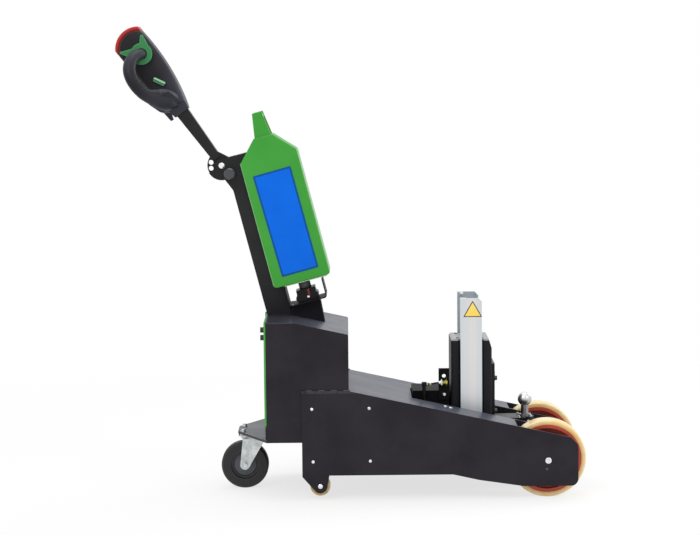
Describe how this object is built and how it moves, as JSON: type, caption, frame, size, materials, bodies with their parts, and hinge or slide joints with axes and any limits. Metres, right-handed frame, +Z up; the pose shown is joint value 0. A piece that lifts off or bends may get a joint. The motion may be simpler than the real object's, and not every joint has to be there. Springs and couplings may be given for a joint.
{
  "type": "walk-behind electric tug",
  "caption": "Walk-behind battery tug with driven wheels, rear swivel castor, tilting tiller, and a lifting ball hitch on a guided mast.",
  "frame": {"origin": "on the floor, at the middle of the box round the machine", "axes": "+X forward from the tiller to the hitch, +Y to the operator's left, +Z up"},
  "size_m": [1.21, 0.392, 1.2215],
  "materials": {
    "ball_steel": "polished",
    "battery_green": "satin moulded green",
    "belly_red": "red, satin",
    "black_aluminium": "black anodised, satin",
    "brass_sensor": "nickel on brass",
    "bright_steel": "satin bright",
    "castor_hub": "grey moulded",
    "castor_tread": "dark grey elastic rubber",
    "chassis_paint": "dark charcoal powder coat",
    "column_paint": "black powder coat",
    "drive_grey": "dark grey cast",
    "grey_plastic": "dark grey, glossy",
    "hub_red": "red oxide paint",
    "lead_black": "black jacket",
    "panel_green": "green powder coat",
    "throttle_green": "green, satin",
    "tiller_black": "black, fine texture",
    "tread_cream": "cream polyurethane",
    "zinc": "zinc plated"
  },
  "bodies": {
    "root": {"battery_case": "battery_green", "battery_handle": "battery_green", "battery_socket": "grey_plastic", "battery_tray": "column_paint", "belly_pan": "chassis_paint", "bulkhead": "chassis_paint", "castor_carrier": "chassis_paint", "castor_mount": "zinc", "column": "column_paint", "deck": "chassis_paint", "drive_axle": "bright_steel", "drive_unit": "drive_grey", "guide_rail_left": "bright_steel", "guide_rail_right": "bright_steel", "housing": "chassis_paint", "index_knob": "grey_plastic", "inner_plate_left": "chassis_paint", "inner_plate_right": "chassis_paint", "mast_base": "column_paint", "rear_panel": "panel_green", "sensor": "brass_sensor", "sensor_bracket": "column_paint", "sensor_lead": "lead_black", "sensor_plug": "lead_black", "side_plate_left": "chassis_paint", "side_plate_right": "chassis_paint", "tiller_pin": "zinc", "tray_pedestal": "column_paint"},
    "drive_wheel_left": {"drive_hub_left": "hub_red", "drive_tyre_left": "tread_cream"},
    "drive_wheel_right": {"drive_hub_right": "hub_red", "drive_tyre_right": "tread_cream"},
    "castor_swivel": {"castor_fork": "zinc", "castor_axle": "zinc"},
    "castor_wheel": {"castor_hub": "castor_hub", "castor_tyre": "castor_tread"},
    "roller_left": {"roller_left": "tread_cream"},
    "roller_right": {"roller_right": "tread_cream"},
    "tiller": {"tiller_arm": "column_paint", "tiller_head": "tiller_black", "belly_pad": "belly_red", "grip_loop_left": "tiller_black", "grip_loop_right": "tiller_black", "throttle_left": "throttle_green", "throttle_right": "throttle_green", "rocker": "throttle_green"},
    "hitch": {"lift_column": "black_aluminium", "lift_cap": "grey_plastic", "guide_rollers": "bright_steel", "hitch_arm": "column_paint", "hitch_ball": "ball_steel"}
  },
  "joints": [
    {"name": "drive_wheel_left_spin", "type": "hinge", "parent": "root", "child": "drive_wheel_left", "pos_m": [0.507, 0.1405, 0.1], "axis": [0, 1, 0], "continuous": true},
    {"name": "drive_wheel_right_spin", "type": "hinge", "parent": "root", "child": "drive_wheel_right", "pos_m": [0.507, -0.1405, 0.1], "axis": [0, 1, 0], "continuous": true},
    {"name": "castor_swivel_turn", "type": "hinge", "parent": "root", "child": "castor_swivel", "pos_m": [-0.254, 0, 0.13], "axis": [0, 0, 1], "continuous": true},
    {"name": "castor_wheel_spin", "type": "hinge", "parent": "castor_swivel", "child": "castor_wheel", "pos_m": [-0.282, 0, 0.0625], "axis": [0, 1, 0], "continuous": true},
    {"name": "roller_left_spin", "type": "hinge", "parent": "root", "child": "roller_left", "pos_m": [-0.08, 0.173, 0.038], "axis": [0, 1, 0], "continuous": true},
    {"name": "roller_right_spin", "type": "hinge", "parent": "root", "child": "roller_right", "pos_m": [-0.08, -0.173, 0.038], "axis": [0, 1, 0], "continuous": true},
    {"name": "tiller_tilt", "type": "hinge", "parent": "root", "child": "tiller", "pos_m": [-0.33177, 0, 0.85787], "axis": [0, 1, 0], "range_deg": [-60, 30]},
    {"name": "hitch_lift", "type": "slide", "parent": "root", "child": "hitch", "axis": [0, 0, 1], "range_m": [0, 0.1]}
  ]
}
